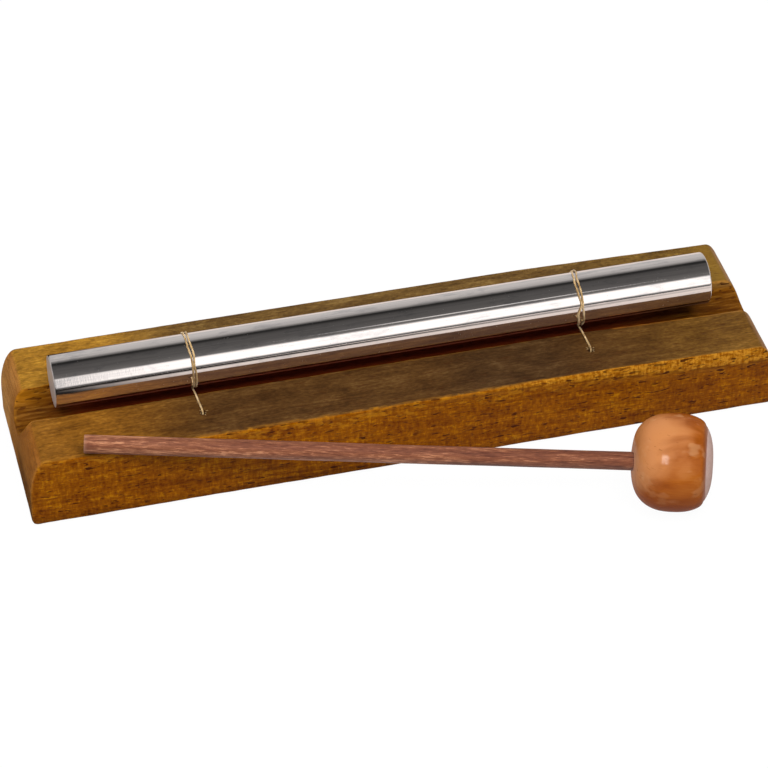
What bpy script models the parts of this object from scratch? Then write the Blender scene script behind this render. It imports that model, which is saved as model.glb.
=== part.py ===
"""Single-bar bar chime with its mallet.

A solid aluminium bar hangs in two cord loops over a groove in a hardwood block. Each cord is knotted in a
counterbore under the block, comes up a hole in one rail, takes two turns round the bar and goes down a hole in
the other rail to its second knot. The mallet leans on the block's front arris with its head on the table.

Frame: metres, +X along the bar, +Y to the back, +Z up, origin at the middle of the block's underside.
"""

import math

import bmesh
import bpy
from mathutils import Matrix, Vector

# Wood block
BLOCK_LENGTH = 0.2326
BLOCK_WIDTH = 0.055
BLOCK_HEIGHT = 0.024
END_ROUND_X = 0.0055         # the top end corners are quarter ellipses, this long
END_ROUND_Z = 0.0145         # and this tall
BOTTOM_ROUND = 0.0022        # bottom end corners
ARRIS_ROUND = 0.0008         # long edges of the rails
GROOVE_HALF_WIDTH = 0.0074
GROOVE_DEPTH = 0.0082        # round-bottomed

# Bar
BAR_RADIUS = 0.008
BAR_LENGTH = 0.205
BAR_CENTRE_X = -0.0015       # the bar sits a little to the left of the block's middle
BAR_AXIS_Z = 0.0315
BAR_CHAMFER = 0.0005

# Cords
CORD_RADIUS = 0.0003
CORD_TURNS = 2               # turns round the bar
CORD_PITCH = 0.0009          # along the bar, from one turn to the next
CORD_HOLE_RADIUS = 0.0008
CORD_HOLE_Y = 0.0163
CORD_SPACING = 0.1212
CORD_CENTRE_X = -0.0008
CORD_BEND = 0.0012           # radius of the cord's turn down into its hole
SPAN_OVERHANG = 0.0009       # how far the free end of a span stands over the groove
KNOT_RADIUS = 0.0016
KNOT_SQUASH = 0.8            # a knot's height over its width
COUNTERBORE_RADIUS = 0.0025
COUNTERBORE_DEPTH = 0.0050

# Mallet
HANDLE_RADIUS = 0.0028
HANDLE_TIP_X = -0.0991
HANDLE_TIP_Y = -0.0261
HANDLE_CHAMFER = 0.0004
HEAD_RADIUS = 0.0148
HEAD_X = 0.0712
HEAD_Y = -0.0625
HEAD_BACK = 0.0118           # from the head's widest place back to the flat round the handle
HEAD_BACK_FLAT_RADIUS = 0.0090
HEAD_CREASE = 0.0104         # from the widest place forward to the rim of the striking end
HEAD_CREASE_RADIUS = 0.0106
HEAD_DOME = 0.0017           # how far the striking end bulges past its rim
HEAD_BORE_DEPTH = 0.0160

GAP = 0.0003                 # left between pieces that touch

COLLECTION = "bar_chime"
CORD_XS = {"left": CORD_CENTRE_X - CORD_SPACING / 2, "right": CORD_CENTRE_X + CORD_SPACING / 2}
SIDE_SIGNS = {"front": -1, "rear": 1}


# ---------------------------------------------------------------- scene and materials

def clear_scene():
    for obj in list(bpy.data.objects):
        bpy.data.objects.remove(obj, do_unlink=True)


def make_collection(name):
    collection = bpy.data.collections.new(name)
    bpy.context.scene.collection.children.link(collection)
    return collection


def make_material(name, color, roughness, metallic=0.0):
    material = bpy.data.materials.new(name)
    material.use_nodes = True
    shader = material.node_tree.nodes["Principled BSDF"]
    shader.inputs["Base Color"].default_value = (*color, 1.0)
    shader.inputs["Roughness"].default_value = roughness
    shader.inputs["Metallic"].default_value = metallic
    return material


def add_object(name, data, collection, material=None):
    obj = bpy.data.objects.new(name, data)
    collection.objects.link(obj)
    if material:
        obj.data.materials.append(material)
    return obj


def shade_round(obj, sharp_degrees=35):
    obj.data.shade_smooth()
    obj.data.set_sharp_from_angle(angle=math.radians(sharp_degrees))


def place_cutter(obj):
    obj.hide_render = True
    obj.display_type = "WIRE"
    return obj


def subtract(obj, cutter):
    boolean = obj.modifiers.new("cut_" + cutter.name, "BOOLEAN")
    boolean.operation = "DIFFERENCE"
    boolean.object = cutter


# ---------------------------------------------------------------- solids

def prism(name, outline, thickness, rotation, collection, material=None):
    """A flat outline (a list of points, a 2D curve) extruded by thickness, as a closed mesh about its middle."""
    curve = bpy.data.curves.new(name + "_outline", "CURVE")
    curve.dimensions = "2D"
    curve.fill_mode = "BOTH"
    curve.extrude = thickness / 2
    spline = curve.splines.new("POLY")
    spline.points.add(len(outline) - 1)
    for point, (u, v) in zip(spline.points, outline):
        point.co = (u, v, 0.0, 1.0)
    spline.use_cyclic_u = True
    source = add_object(name + "_curve", curve, collection)
    source.matrix_world = rotation
    return curve_to_mesh(source, name, collection, material)


def curve_to_mesh(source, name, collection, material):
    """Turns a curve object into a closed mesh object in the same place, and removes the curve."""
    depsgraph = bpy.context.evaluated_depsgraph_get()
    depsgraph.update()
    mesh = bpy.data.meshes.new_from_object(source.evaluated_get(depsgraph))
    mesh.transform(source.matrix_world)
    bm = bmesh.new()
    bm.from_mesh(mesh)
    bmesh.ops.remove_doubles(bm, verts=bm.verts, dist=1e-6)
    bmesh.ops.recalc_face_normals(bm, faces=bm.faces)
    bm.to_mesh(mesh)
    bm.free()
    mesh.materials.clear()
    bpy.data.objects.remove(source, do_unlink=True)
    return add_object(name, mesh, collection, material)


def turned(name, profile, segments, collection, material=None):
    """A solid of revolution about +Z: profile is (radius, height) pairs from the top down the outer side."""
    mesh = bpy.data.meshes.new(name)
    points = [(radius, 0.0, height) for radius, height in profile]
    mesh.from_pydata(points, [(i, i + 1) for i in range(len(points) - 1)], [])
    obj = add_object(name, mesh, collection, material)
    screw = obj.modifiers.new("turn", "SCREW")
    screw.axis = "Z"
    screw.steps = screw.render_steps = segments
    screw.use_merge_vertices = True
    screw.merge_threshold = 1e-6
    return obj


def arc(centre_u, centre_v, radius_u, radius_v, start_degrees, end_degrees, steps):
    """Points of an elliptical arc, both ends included."""
    points = []
    for i in range(steps + 1):
        angle = math.radians(start_degrees + (end_degrees - start_degrees) * i / steps)
        points.append((centre_u + radius_u * math.cos(angle), centre_v + radius_v * math.sin(angle)))
    return points


def tube(name, path, radius, collection, material):
    """A round cord through the points of path."""
    curve = bpy.data.curves.new(name + "_path", "CURVE")
    curve.dimensions = "3D"
    curve.bevel_depth = radius
    curve.bevel_resolution = 2
    curve.use_fill_caps = True
    spline = curve.splines.new("POLY")
    spline.points.add(len(path) - 1)
    for point, place in zip(spline.points, path):
        point.co = (*place, 1.0)
    source = add_object(name + "_curve", curve, collection)
    obj = curve_to_mesh(source, name, collection, material)
    shade_round(obj, 60)
    return obj


# ---------------------------------------------------------------- wood block

def block_side_outline():
    """The block seen from the front, in X and Z: elliptical top corners and small bottom corners."""
    half = BLOCK_LENGTH / 2
    corners = [
        (half - BOTTOM_ROUND, BOTTOM_ROUND, BOTTOM_ROUND, BOTTOM_ROUND, -90, 0, 3),
        (half - END_ROUND_X, BLOCK_HEIGHT - END_ROUND_Z, END_ROUND_X, END_ROUND_Z, 0, 90, 12),
        (-half + END_ROUND_X, BLOCK_HEIGHT - END_ROUND_Z, END_ROUND_X, END_ROUND_Z, 90, 180, 12),
        (-half + BOTTOM_ROUND, BOTTOM_ROUND, BOTTOM_ROUND, BOTTOM_ROUND, 180, 270, 3),
    ]
    return [point for corner in corners for point in arc(*corner)]


def block_section_outline():
    """The block's cross-section, in Y and Z: two rails with rounded arrises and the groove between them."""
    half = BLOCK_WIDTH / 2
    edge = ARRIS_ROUND
    outline = arc(half - edge, edge, edge, edge, -90, 0, 3)
    outline += arc(half - edge, BLOCK_HEIGHT - edge, edge, edge, 0, 90, 3)
    outline += arc(GROOVE_HALF_WIDTH + edge, BLOCK_HEIGHT - edge, edge, edge, 90, 180, 3)
    outline += arc(0.0, BLOCK_HEIGHT - edge, GROOVE_HALF_WIDTH, GROOVE_DEPTH - edge, 0, -90, 10)
    return outline + [(-y, z) for y, z in reversed(outline[:-1])]


def make_block(collection, cutters, material):
    upright = Matrix.Rotation(math.radians(90), 4, "X")
    across = Matrix(((0, 0, 1, 0), (1, 0, 0, 0), (0, 1, 0, 0), (0, 0, 0, 1)))
    block = prism("base_block", block_section_outline(), BLOCK_LENGTH * 1.1, across, collection, material)
    ends = prism("end_shape", block_side_outline(), BLOCK_WIDTH * 1.2, upright, cutters)
    trim = block.modifiers.new("round_ends", "BOOLEAN")
    trim.operation = "INTERSECT"
    trim.object = place_cutter(ends)
    for cord, x in CORD_XS.items():
        for side, sign in SIDE_SIGNS.items():
            name = f"{cord}_{side}_cord_hole_cutter"
            subtract(block, cord_hole_cutter(name, x, sign * CORD_HOLE_Y, cutters))
    shade_round(block, 25)
    return block


def cord_hole_cutter(name, x, y, cutters):
    """A through hole with a counterbore from below for the knot."""
    over = 0.002
    profile = [
        (0.0, BLOCK_HEIGHT + over),
        (CORD_HOLE_RADIUS, BLOCK_HEIGHT + over),
        (CORD_HOLE_RADIUS, COUNTERBORE_DEPTH),
        (COUNTERBORE_RADIUS, COUNTERBORE_DEPTH),
        (COUNTERBORE_RADIUS, -over),
        (0.0, -over),
    ]
    cutter = turned(name, profile, 20, cutters)
    cutter.location = (x, y, 0.0)
    return place_cutter(cutter)


# ---------------------------------------------------------------- bar and cords

def make_bar(collection, material):
    half = BAR_LENGTH / 2
    profile = [
        (0.0, half),
        (BAR_RADIUS - BAR_CHAMFER, half),
        (BAR_RADIUS, half - BAR_CHAMFER),
        (BAR_RADIUS, -half + BAR_CHAMFER),
        (BAR_RADIUS - BAR_CHAMFER, -half),
        (0.0, -half),
    ]
    bar = turned("chime_bar", profile, 48, collection, material)
    bar.rotation_euler = (0.0, math.radians(90), 0.0)
    bar.location = (BAR_CENTRE_X, 0.0, BAR_AXIS_Z)
    shade_round(bar)
    return bar


def wrap_radius():
    return BAR_RADIUS + GAP + CORD_RADIUS


def make_cord_wrap(cord, x, collection, material):
    """The turns of cord round the bar: they start and end under it, side by side."""
    steps_per_turn = 36
    steps = CORD_TURNS * steps_per_turn
    path = []
    for i in range(steps + 1):
        turns = i / steps_per_turn
        angle = -math.pi / 2 - 2 * math.pi * turns
        along = (turns - CORD_TURNS / 2) * CORD_PITCH
        across = wrap_radius() * math.cos(angle)
        path.append((x + along, across, BAR_AXIS_Z + wrap_radius() * math.sin(angle)))
    return tube(f"{cord}_cord_wrap", path, CORD_RADIUS, collection, material)


def cord_span_path(x, sign):
    """From beside the turn, over the groove's edge, flat along the rail and down the hole to the knot."""
    lift = BLOCK_HEIGHT + CORD_RADIUS + GAP
    path = [(x, sign * (GROOVE_HALF_WIDTH - SPAN_OVERHANG), lift - ARRIS_ROUND)]
    path.append((x, sign * (GROOVE_HALF_WIDTH + ARRIS_ROUND / 2), lift))
    for y, z in arc(CORD_HOLE_Y - CORD_BEND, lift - CORD_BEND, CORD_BEND, CORD_BEND, 90, 0, 4):
        path.append((x, sign * y, z))
    path.append((x, sign * CORD_HOLE_Y, COUNTERBORE_DEPTH))
    return path


def make_cord_span(cord, side, x, collection, material):
    path = cord_span_path(x, SIDE_SIGNS[side])
    return tube(f"{cord}_cord_{side}_span", path, CORD_RADIUS, collection, material)


def make_knot(cord, side, x, collection, material):
    """The overhand knot, as a lump in the counterbore."""
    mesh = bpy.data.meshes.new(f"{cord}_{side}_knot")
    bm = bmesh.new()
    bmesh.ops.create_uvsphere(bm, u_segments=14, v_segments=8, radius=KNOT_RADIUS)
    bmesh.ops.scale(bm, vec=(1.0, 1.0, KNOT_SQUASH), verts=bm.verts)
    bm.to_mesh(mesh)
    bm.free()
    knot = add_object(f"{cord}_{side}_knot", mesh, collection, material)
    knot_z = COUNTERBORE_DEPTH - GAP - KNOT_RADIUS * KNOT_SQUASH
    knot.location = (x, SIDE_SIGNS[side] * CORD_HOLE_Y, knot_z)
    shade_round(knot, 60)
    return knot


# ---------------------------------------------------------------- mallet

def mallet_matrix():
    """The mallet's own frame: its origin in the middle of the head, local +Z from the handle to the striking end.

    The handle rests on the block's front top arris, so seen along X its axis is a tangent to a circle of the
    handle's radius, plus the gap, round that edge.
    """
    head = Vector((HEAD_X, HEAD_Y, HEAD_RADIUS))
    run = -BLOCK_WIDTH / 2 - HEAD_Y
    rise = BLOCK_HEIGHT - HEAD_RADIUS
    slope = math.atan2(rise, run) + math.asin((HANDLE_RADIUS + GAP) / math.hypot(run, rise))
    tip_z = HEAD_RADIUS + (HANDLE_TIP_Y - HEAD_Y) * math.tan(slope)
    tip = Vector((HANDLE_TIP_X, HANDLE_TIP_Y, tip_z))
    along = (head - tip).normalized()
    turn = along.to_track_quat("Z", "Y").to_matrix().to_4x4()
    return Matrix.Translation(head) @ turn, (head - tip).length


def head_profile():
    """The turned ball: domed striking end, crease, round belly and the flat the handle enters, with its bore."""
    dome_radius = (HEAD_CREASE_RADIUS ** 2 + HEAD_DOME ** 2) / (2 * HEAD_DOME)
    rim_angle = math.degrees(math.asin(HEAD_CREASE_RADIUS / dome_radius))
    dome_centre = HEAD_CREASE + HEAD_DOME - dome_radius
    dome = [(u, v) for v, u in arc(dome_centre, 0.0, dome_radius, dome_radius, 0, rim_angle, 5)]
    belly_front = belly_scale(HEAD_CREASE_RADIUS, HEAD_CREASE)
    belly_back = belly_scale(HEAD_BACK_FLAT_RADIUS, HEAD_BACK)
    front_angle = math.degrees(math.acos(HEAD_CREASE_RADIUS / HEAD_RADIUS))
    back_angle = math.degrees(math.acos(HEAD_BACK_FLAT_RADIUS / HEAD_RADIUS))
    belly = arc(0.0, 0.0, HEAD_RADIUS, belly_front, front_angle, 0, 8)
    belly += arc(0.0, 0.0, HEAD_RADIUS, belly_back, 0, -back_angle, 8)[1:]
    bore = HANDLE_RADIUS + GAP
    bore_end = -HEAD_BACK + HEAD_BORE_DEPTH
    return dome + belly[1:] + [(bore, -HEAD_BACK), (bore, bore_end), (0.0, bore_end)]


def belly_scale(radius, distance):
    """Half length of the ellipse, HEAD_RADIUS wide, that passes through radius at this distance."""
    return distance / math.sqrt(1 - (radius / HEAD_RADIUS) ** 2)


def make_mallet(collection, wood, stick):
    place, reach = mallet_matrix()
    head = turned("mallet_head", head_profile(), 40, collection, wood)
    head.matrix_world = place
    shade_round(head, 12)
    inner_end = -HEAD_BACK + HEAD_BORE_DEPTH - GAP
    profile = [
        (0.0, inner_end),
        (HANDLE_RADIUS, inner_end),
        (HANDLE_RADIUS, -reach + HANDLE_CHAMFER),
        (HANDLE_RADIUS - HANDLE_CHAMFER, -reach),
        (0.0, -reach),
    ]
    handle = turned("mallet_handle", profile, 24, collection, stick)
    handle.matrix_world = place
    shade_round(handle)


# ---------------------------------------------------------------- assembly

def main():
    clear_scene()
    parts = make_collection(COLLECTION)
    cutters = make_collection(COLLECTION + "_cutters")
    block_wood = make_material("block_wood", (0.20, 0.09, 0.018), 0.5)
    aluminium = make_material("polished_aluminium", (0.80, 0.79, 0.80), 0.12, 1.0)
    twine = make_material("twine", (0.52, 0.36, 0.17), 0.8)
    stick_wood = make_material("stick_wood", (0.27, 0.10, 0.07), 0.6)
    head_wood = make_material("head_wood", (0.50, 0.20, 0.06), 0.3)
    make_block(parts, cutters, block_wood)
    make_bar(parts, aluminium)
    for cord, x in CORD_XS.items():
        make_cord_wrap(cord, x, parts, twine)
        for side in SIDE_SIGNS:
            make_cord_span(cord, side, x, parts, twine)
            make_knot(cord, side, x, parts, twine)
    make_mallet(parts, head_wood, stick_wood)


main()
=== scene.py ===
"""Looks of the bar chime: oiled hardwood block, polished aluminium bar, twine cords and a wooden mallet.

Sizes and places come from the CAD frame. Mesh work is done in millimetres and scaled to metres at the end.
"""

import math

import bmesh
import bpy
import numpy as np
from mathutils import Matrix, Vector


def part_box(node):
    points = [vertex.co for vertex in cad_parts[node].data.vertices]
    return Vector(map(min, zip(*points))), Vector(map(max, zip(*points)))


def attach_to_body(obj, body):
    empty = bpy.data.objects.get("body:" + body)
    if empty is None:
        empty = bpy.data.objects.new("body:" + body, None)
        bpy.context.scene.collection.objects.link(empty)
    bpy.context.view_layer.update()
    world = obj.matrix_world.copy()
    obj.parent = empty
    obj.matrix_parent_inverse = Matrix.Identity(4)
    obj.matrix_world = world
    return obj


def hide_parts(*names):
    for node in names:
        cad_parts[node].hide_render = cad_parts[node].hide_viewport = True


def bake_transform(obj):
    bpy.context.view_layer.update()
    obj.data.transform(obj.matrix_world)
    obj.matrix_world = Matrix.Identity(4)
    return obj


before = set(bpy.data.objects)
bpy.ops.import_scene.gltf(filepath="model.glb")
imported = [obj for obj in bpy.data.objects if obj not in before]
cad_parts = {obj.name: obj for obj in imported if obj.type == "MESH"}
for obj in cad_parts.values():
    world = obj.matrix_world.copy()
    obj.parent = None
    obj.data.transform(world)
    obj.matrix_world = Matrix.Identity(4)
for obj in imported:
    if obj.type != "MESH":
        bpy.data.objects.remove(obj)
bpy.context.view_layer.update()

MM = 0.001
SEED = 11


# ---------------- sizes from the frame, in millimetres

def node_points(name):
    """All vertices of a CAD node, one row each."""
    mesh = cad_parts[name].data
    points = np.zeros(len(mesh.vertices) * 3)
    mesh.vertices.foreach_get("co", points)
    return points.reshape(-1, 3) / MM


def node_box(name):
    low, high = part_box(name)
    return np.array(low) / MM, np.array(high) / MM


BLOCK_HALF_LENGTH, BLOCK_HALF_WIDTH, BLOCK_TOP = node_box("base_block")[1]

BAR_LOW, BAR_HIGH = node_box("chime_bar")
BAR_CENTRE = (BAR_LOW + BAR_HIGH) / 2
BAR_RADIUS = (BAR_HIGH[2] - BAR_LOW[2]) / 2
BAR_HALF_LENGTH = (BAR_HIGH[0] - BAR_LOW[0]) / 2

CORD_SIDES = ("left", "right")
SIDE_SIGNS = {"front": -1, "rear": 1}
CORD_X = {side: sum(node_box(f"{side}_cord_wrap")[i][0] for i in (0, 1)) / 2 for side in CORD_SIDES}
SPAN_LOW, SPAN_HIGH = node_box("left_cord_rear_span")
CORD_RADIUS = (SPAN_HIGH[0] - SPAN_LOW[0]) / 2
HOLE_Y = SPAN_HIGH[1] - CORD_RADIUS
COUNTERBORE_DEPTH = SPAN_LOW[2]

# Shape of the block that its box doesn't give
END_ROUND_X = 5.5
END_ROUND_Z = 14.5
END_ROUND_BELOW = 2.2
GROOVE_HALF_WIDTH = 7.4
GROOVE_AXIS_DROP = 0.8       # the round-bottomed groove's axis lies this far below the rails
HOLE_RADIUS = 0.8
COUNTERBORE_RADIUS = 2.5
TOP_WEAR = 1.8               # how far the top is worn down at the right end,
TOP_WEARS_AT = (40, 125)     # and from where to where the wear grows
BEVEL_GROWS_AT = (15, 100)
BEVEL_ACROSS = (0.35, 1.0)   # the worn front edge's bevel, at the left and at the right
BEVEL_DOWN = (0.5, 3.8)
BLOCK_VOXEL = 0.0005

# The camera: degrees round from the front and up, metres away, millimetres of lens, and what it looks at
CAMERA_AZIMUTH = -14.22
CAMERA_ELEVATION = 39.95
CAMERA_DISTANCE = 1.0501
CAMERA_LENS = 157.4
CAMERA_AIM = Vector((0.0011, 0.0098, 0.0010))


def direction(azimuth, elevation):
    """A unit vector from the object's middle: azimuth runs from the front towards the right."""
    a, e = math.radians(azimuth), math.radians(elevation)
    return Vector((math.sin(a) * math.cos(e), -math.cos(a) * math.cos(e), math.sin(e)))


VIEW_BACK = direction(CAMERA_AZIMUTH, CAMERA_ELEVATION)


# ---------------- meshes

def add_object(name, data):
    obj = bpy.data.objects.new(name, data)
    bpy.context.scene.collection.objects.link(obj)
    return obj


def add_mesh(name, vertices, faces, material):
    """A new smooth mesh object from millimetre vertices."""
    mesh = bpy.data.meshes.new(name)
    mesh.from_pydata([tuple(v) for v in np.asarray(vertices) * MM], [], faces)
    mesh.validate()
    mesh.materials.append(material)
    mesh.shade_smooth()
    return add_object(name, mesh)


def ring_faces(rows, count):
    """Quads between rows of count vertices each, which run round in rings."""
    faces = []
    for row in range(0, (rows - 1) * count, count):
        for j in range(count):
            after = (j + 1) % count
            faces.append((row + j, row + after, row + count + after, row + count + j))
    return faces


def lathe(profile, segments):
    """A closed solid of revolution about Z. Its (radius, height) points start and end on the axis."""
    vertices = [(0.0, 0.0, profile[0][1])]
    for radius, height in profile[1:-1]:
        for k in range(segments):
            angle = 2 * math.pi * k / segments
            vertices.append((radius * math.cos(angle), radius * math.sin(angle), height))
    vertices.append((0.0, 0.0, profile[-1][1]))
    rows = len(profile) - 2
    faces = [tuple(i + 1 for i in face) for face in ring_faces(rows, segments)]
    top = len(vertices) - 1
    start = 1 + (rows - 1) * segments
    for k in range(segments):
        after = (k + 1) % segments
        faces.append((0, 1 + after, 1 + k))
        faces.append((top, start + k, start + after))
    return np.array(vertices), faces


def arc(centre_u, centre_v, radius, start_degrees, end_degrees, steps):
    """Points of an arc, both ends included."""
    angles = np.radians(np.linspace(start_degrees, end_degrees, steps + 1))
    return [(centre_u + radius * math.cos(t), centre_v + radius * math.sin(t)) for t in angles]


def path_frames(path):
    """Two steady cross directions at each point of a path."""
    tangents = np.gradient(path, axis=0)
    tangents /= np.linalg.norm(tangents, axis=1)[:, None]
    side = np.cross(tangents[0], (0.3, 0.5, 0.8))
    side /= np.linalg.norm(side)
    sides = []
    for tangent in tangents:
        side = side - tangent * (side @ tangent)
        side /= np.linalg.norm(side)
        sides.append(side)
    sides = np.array(sides)
    return sides, np.cross(tangents, sides)


def tube(path, radii, corners):
    """Vertices and faces of a closed tube, whose radius may change along its path."""
    sides, ups = path_frames(path)
    radii = np.broadcast_to(radii, (len(path),))
    vertices = []
    for k in range(corners):
        angle = 2 * math.pi * k / corners
        offset = sides * math.cos(angle) + ups * math.sin(angle)
        vertices.append(path + offset * radii[:, None])
    vertices = np.stack(vertices, axis=1).reshape(-1, 3)
    faces = ring_faces(len(path), corners)
    faces.append(tuple(range(corners - 1, -1, -1)))
    faces.append(tuple(range((len(path) - 1) * corners, len(path) * corners)))
    return vertices, faces


def join(shapes):
    """One vertex array and face list from several."""
    vertices, faces, offset = [], [], 0
    for points, polygons in shapes:
        vertices.append(points)
        faces += [tuple(i + offset for i in polygon) for polygon in polygons]
        offset += len(points)
    return np.concatenate(vertices), faces


def resample(points, step):
    """Evenly spaced points along a polyline."""
    points = np.asarray(points, float)
    lengths = np.linalg.norm(np.diff(points, axis=0), axis=1)
    distance = np.concatenate([[0], np.cumsum(lengths)])
    count = max(3, int(distance[-1] / step) + 1)
    at = np.linspace(0, distance[-1], count)
    return np.stack([np.interp(at, distance, points[:, k]) for k in range(3)], axis=1)


# ---------------- noise

def hash_grid(cell, seed):
    """A repeatable random number in -1..1 for each integer cell."""
    n = cell[:, 0] * 374761393 + cell[:, 1] * 668265263 + cell[:, 2] * 2147483647 + seed * 974634777
    n = n & 0xFFFFFFFF
    n = ((n ^ (n >> 13)) * 1274126177) & 0xFFFFFFFF
    n = (n ^ (n >> 16)) & 0xFFFFFF
    return n / float(0x7FFFFF) - 1.0


def noise(points, cell_size, seed=0):
    """Smooth noise in -1..1. Its cells have one size, or their own along each axis."""
    scaled = points / np.asarray(cell_size, float)
    cell = np.floor(scaled).astype(np.int64)
    f = scaled - cell
    f = f * f * (3 - 2 * f)
    total = np.zeros(len(points))
    for corner in range(8):
        bits = np.array([(corner >> axis) & 1 for axis in range(3)])
        weight = np.prod(np.where(bits, f, 1 - f), axis=1)
        total += weight * hash_grid(cell + bits, seed + SEED)
    return total


# ---------------- wood block

# Small bites out of the groove's edges and the arrises: centre, then half sizes
CHIPS = np.array([
    (BLOCK_HALF_LENGTH - 17.0, 0.1 - GROOVE_HALF_WIDTH, BLOCK_TOP + 0.1, 3.4, 0.9, 0.8),
    (BLOCK_HALF_LENGTH - 24.0, 0.2 - GROOVE_HALF_WIDTH, BLOCK_TOP + 0.1, 5.0, 0.6, 0.6),
    (30.0 - BLOCK_HALF_LENGTH, 0.2 - GROOVE_HALF_WIDTH, BLOCK_TOP + 0.1, 4.0, 0.5, 0.5),
    (14.0 - BLOCK_HALF_LENGTH, GROOVE_HALF_WIDTH - 0.2, BLOCK_TOP - 0.8, 5.0, 0.7, 0.9),
    (BLOCK_HALF_LENGTH - 12.0, GROOVE_HALF_WIDTH - 0.1, BLOCK_TOP - 0.6, 4.0, 0.8, 0.8),
    (BLOCK_HALF_LENGTH - 40.0, BLOCK_HALF_WIDTH, BLOCK_TOP, 3.0, 0.5, 0.6),
])


def round_max(a, b, radius):
    """Intersection of two distance fields, its edge rounded."""
    u = np.maximum(a + radius, 0.0)
    v = np.maximum(b + radius, 0.0)
    return np.minimum(-radius, np.maximum(a, b)) + np.hypot(u, v)


def smoothstep(low, high, value):
    t = np.clip((value - low) / (high - low), 0, 1)
    return t * t * (3 - 2 * t)


def end_profile_distance(x, z):
    """Distance outside the block seen from the front: flat top, elliptical corners, upright ends."""
    u = np.abs(x) - (BLOCK_HALF_LENGTH - END_ROUND_X)
    w = z - (BLOCK_TOP - END_ROUND_Z)
    u0, w0 = np.maximum(u, 1e-6), np.maximum(w, 1e-6)
    reach = np.hypot(u0 / END_ROUND_X, w0 / END_ROUND_Z)
    slope = np.hypot(u0 / END_ROUND_X ** 2, w0 / END_ROUND_Z ** 2)
    curved = (reach - 1) * reach / slope
    flat = np.maximum(u - END_ROUND_X, w - END_ROUND_Z)
    return np.where((u > 0) & (w > 0), curved, flat)


def groove_distance(y, z):
    """Distance outside the groove's hollow, which is round-bottomed and open at the top."""
    down = np.maximum(BLOCK_TOP - GROOVE_AXIS_DROP - z, 0)
    return np.hypot(y, down) - GROOVE_HALF_WIDTH


def bevel_sizes(x):
    """How far the hand-worn bevel on the front top edge goes across and down."""
    worn = smoothstep(*BEVEL_GROWS_AT, x)
    return [left + (right - left) * worn for left, right in (BEVEL_ACROSS, BEVEL_DOWN)]


def worn_down(x):
    """How far the block's top falls away towards its right end."""
    return TOP_WEAR * smoothstep(*TOP_WEARS_AT, x)


def block_parts(p):
    """The distance fields that make up the block, at each point, and the wobble of its edges."""
    x, y, z = p.T
    z = z + worn_down(x) * np.clip(z / BLOCK_TOP, 0, 1.2)
    wobble = noise(p, 9, 1) * 0.6 + noise(p, 2.6, 2) * 0.4
    profile = round_max(end_profile_distance(x, z), -z, END_ROUND_BELOW)
    sides = np.abs(y) - BLOCK_HALF_WIDTH
    groove = groove_distance(y, z)
    across, down = bevel_sizes(x)
    across = across * (1 + 0.25 * wobble)
    down = down * (1 + 0.10 * wobble)
    slant = (across - BLOCK_HALF_WIDTH - y) / across + (z - BLOCK_TOP) / down
    bevel = slant / np.hypot(1 / across, 1 / down)
    return profile, sides, groove, bevel, wobble


def hole_reaches(p):
    """How far each point is from the axis of each cord hole."""
    places = [(CORD_X[side], sign * HOLE_Y) for side in CORD_SIDES for sign in SIDE_SIGNS.values()]
    return [np.hypot(p[:, 0] - x, p[:, 1] - y) for x, y in places]


def block_distance(p):
    """Signed distance to the finished block's surface, roughly, in millimetres."""
    profile, sides, groove, bevel, wobble = block_parts(p)
    corner = 0.75 + 0.25 * wobble
    body = round_max(profile, sides, corner)
    body = round_max(body, bevel, 0.35 + 0.1 * wobble)
    body = round_max(body, -p[:, 2], 0.9 + 0.2 * wobble)
    groove_skin = noise(p, (7, 0.9, 0.9), 3) * 0.10 + noise(p, (30, 4, 4), 4) * 0.10
    body = round_max(body, -(groove + groove_skin), 0.55 + 0.3 * wobble)
    for reach in hole_reaches(p):
        body = round_max(body, HOLE_RADIUS - reach, 0.15)
        counterbore = np.maximum(reach - COUNTERBORE_RADIUS, p[:, 2] - COUNTERBORE_DEPTH)
        body = np.maximum(body, -counterbore)
    for chip in CHIPS:
        reach = np.linalg.norm((p - chip[:3]) / chip[3:], axis=1)
        body = np.maximum(body, (1 - reach) * chip[3:].min())
    return body + noise(p, (26, 5, 5), 5) * 0.05


def project_to_surface(points, distance, rounds=4, step=0.05):
    """Moves each point to where distance is nought, along the field's slope."""
    for _ in range(rounds):
        value = distance(points)
        slope = np.zeros_like(points)
        for axis in range(3):
            shifted = points.copy()
            shifted[:, axis] += step
            slope[:, axis] = (distance(shifted) - value) / step
        size = np.maximum((slope ** 2).sum(axis=1), 0.2)
        move = slope * (value / size)[:, None]
        length = np.linalg.norm(move, axis=1)[:, None]
        points = points - move * np.minimum(1, 0.6 / np.maximum(length, 1e-9))
    return points


def set_attribute(mesh, name, values):
    attribute = mesh.attributes.new(name, "FLOAT", "POINT")
    attribute.data.foreach_set("value", np.asarray(values, np.float32))


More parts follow.
